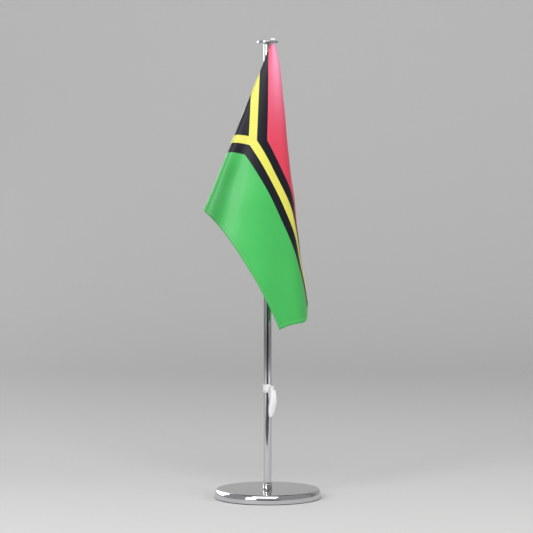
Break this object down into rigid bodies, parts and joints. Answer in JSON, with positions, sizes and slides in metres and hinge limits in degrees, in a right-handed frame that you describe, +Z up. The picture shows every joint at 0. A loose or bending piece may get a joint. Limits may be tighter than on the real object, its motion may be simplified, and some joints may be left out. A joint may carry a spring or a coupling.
{
  "type": "desk flag stand",
  "caption": "Round weighted foot with a thin upright pole, a swivelling disc finial and a small printed cloth flag hung from one corner and tied below by a ribbon.",
  "frame": {"origin": "centre of the foot's resting face, on the pole's axis", "axes": "+Z up along the pole; the flag's printed front faces -Y; +X to the viewer's right"},
  "size_m": [0.1086, 0.1, 0.4318],
  "materials": {
    "chrome": "polished chrome plating, mirror-like, with faint fine wiping marks",
    "plain_steel": "zinc-plated, dull satin",
    "bush_brass": "machined, slightly dull",
    "pad_foam": "fine closed-cell anti-slip foam, matt",
    "flag_fabric": "printed satin polyester, fine weave, soft sheen",
    "white_ribbon": "white polyester ribbon, fine cross ribs, soft sheen",
    "white_cord": "white braided polyester cord"
  },
  "bodies": {
    "stand": {"base_disc": "chrome", "base_pad": "pad_foam", "base_screw": "plain_steel", "base_washer": "plain_steel", "foot_plug": "plain_steel", "foot_collar": "chrome", "pole_tube": "chrome", "top_bush": "bush_brass"},
    "flag": {"finial_disc": "chrome", "retaining_ring": "plain_steel", "stop_knot": "white_cord", "top_cord": "white_cord", "flag_cloth": "flag_fabric", "hoist_tape": "white_ribbon", "tie_lead": "white_ribbon"},
    "tie": {"tie_band": "white_ribbon", "tie_knot": "white_ribbon", "tie_tail": "white_ribbon"}
  },
  "joints": [
    {"name": "flag_turn", "type": "hinge", "parent": "stand", "child": "flag", "pos_m": [0, 0, 0.4], "axis": [0, 0, 1], "continuous": true},
    {"name": "tie_slide", "type": "slide", "parent": "flag", "child": "tie", "axis": [0, 0, 1], "range_m": [0, 0.06], "deforming": ["tie_lead"]}
  ]
}
